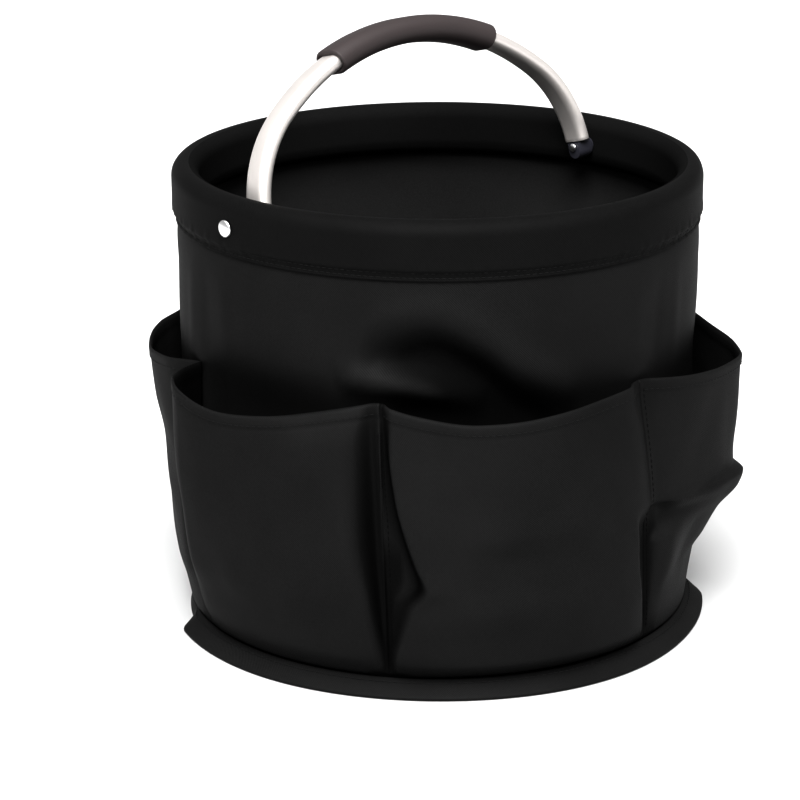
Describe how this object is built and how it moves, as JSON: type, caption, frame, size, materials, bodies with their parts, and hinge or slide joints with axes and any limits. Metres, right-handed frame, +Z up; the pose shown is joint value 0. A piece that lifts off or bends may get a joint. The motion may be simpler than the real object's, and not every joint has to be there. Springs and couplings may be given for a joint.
{
  "type": "tool bucket organizer",
  "caption": "Round soft-sided fabric tool bucket with open outer pockets, a stiff rolled rim that folds down onto the floor, and a swinging oval-tube carrying handle with a grip sleeve.",
  "frame": {"origin": "centre of the underside, on the floor that the bucket stands on", "axes": "+Z up; +X along the axis of the two handle rivets; +Y towards the side that the handle leans to"},
  "size_m": [0.3518, 0.3452, 0.3568],
  "materials": {
    "outer_cloth": "woven polyester, matte black",
    "lining_cloth": "smooth coated cloth, black",
    "board": "matte",
    "hoop": "plain drawn",
    "tube": "satin anodised",
    "rivet": "bright",
    "grip": "matte dark brown-grey",
    "black_plastic": "moulded, slightly glossy"
  },
  "bodies": {
    "bucket": {"body_wall": "outer_cloth", "lining_wall": "lining_cloth", "bottom_panel": "outer_cloth", "base_board": "board", "lining_floor": "lining_cloth", "base_flange": "outer_cloth", "pocket_1": "outer_cloth", "pocket_2": "outer_cloth", "pocket_3": "outer_cloth", "pocket_4": "outer_cloth", "pocket_5": "outer_cloth", "pocket_6": "outer_cloth"},
    "rim": {"rim_collar": "outer_cloth", "rim_hoop": "hoop", "rivet_left": "rivet", "rivet_right": "rivet", "pivot_washer_left": "black_plastic", "pivot_washer_right": "black_plastic"},
    "handle": {"handle_tube": "tube", "handle_grip": "grip", "handle_foot_left": "black_plastic", "handle_foot_right": "black_plastic"}
  },
  "joints": [
    {"name": "collapse", "type": "slide", "parent": "bucket", "child": "rim", "axis": [0, 0, 1], "range_m": [-0.18, 0], "deforming": ["body_wall", "lining_wall", "pocket_1", "pocket_2", "pocket_3", "pocket_4", "pocket_5", "pocket_6"]},
    {"name": "handle_swing", "type": "hinge", "parent": "rim", "child": "handle", "pos_m": [0, 0.009, 0.261], "axis": [1, 0, 0], "range_deg": [-76, 104]}
  ]
}
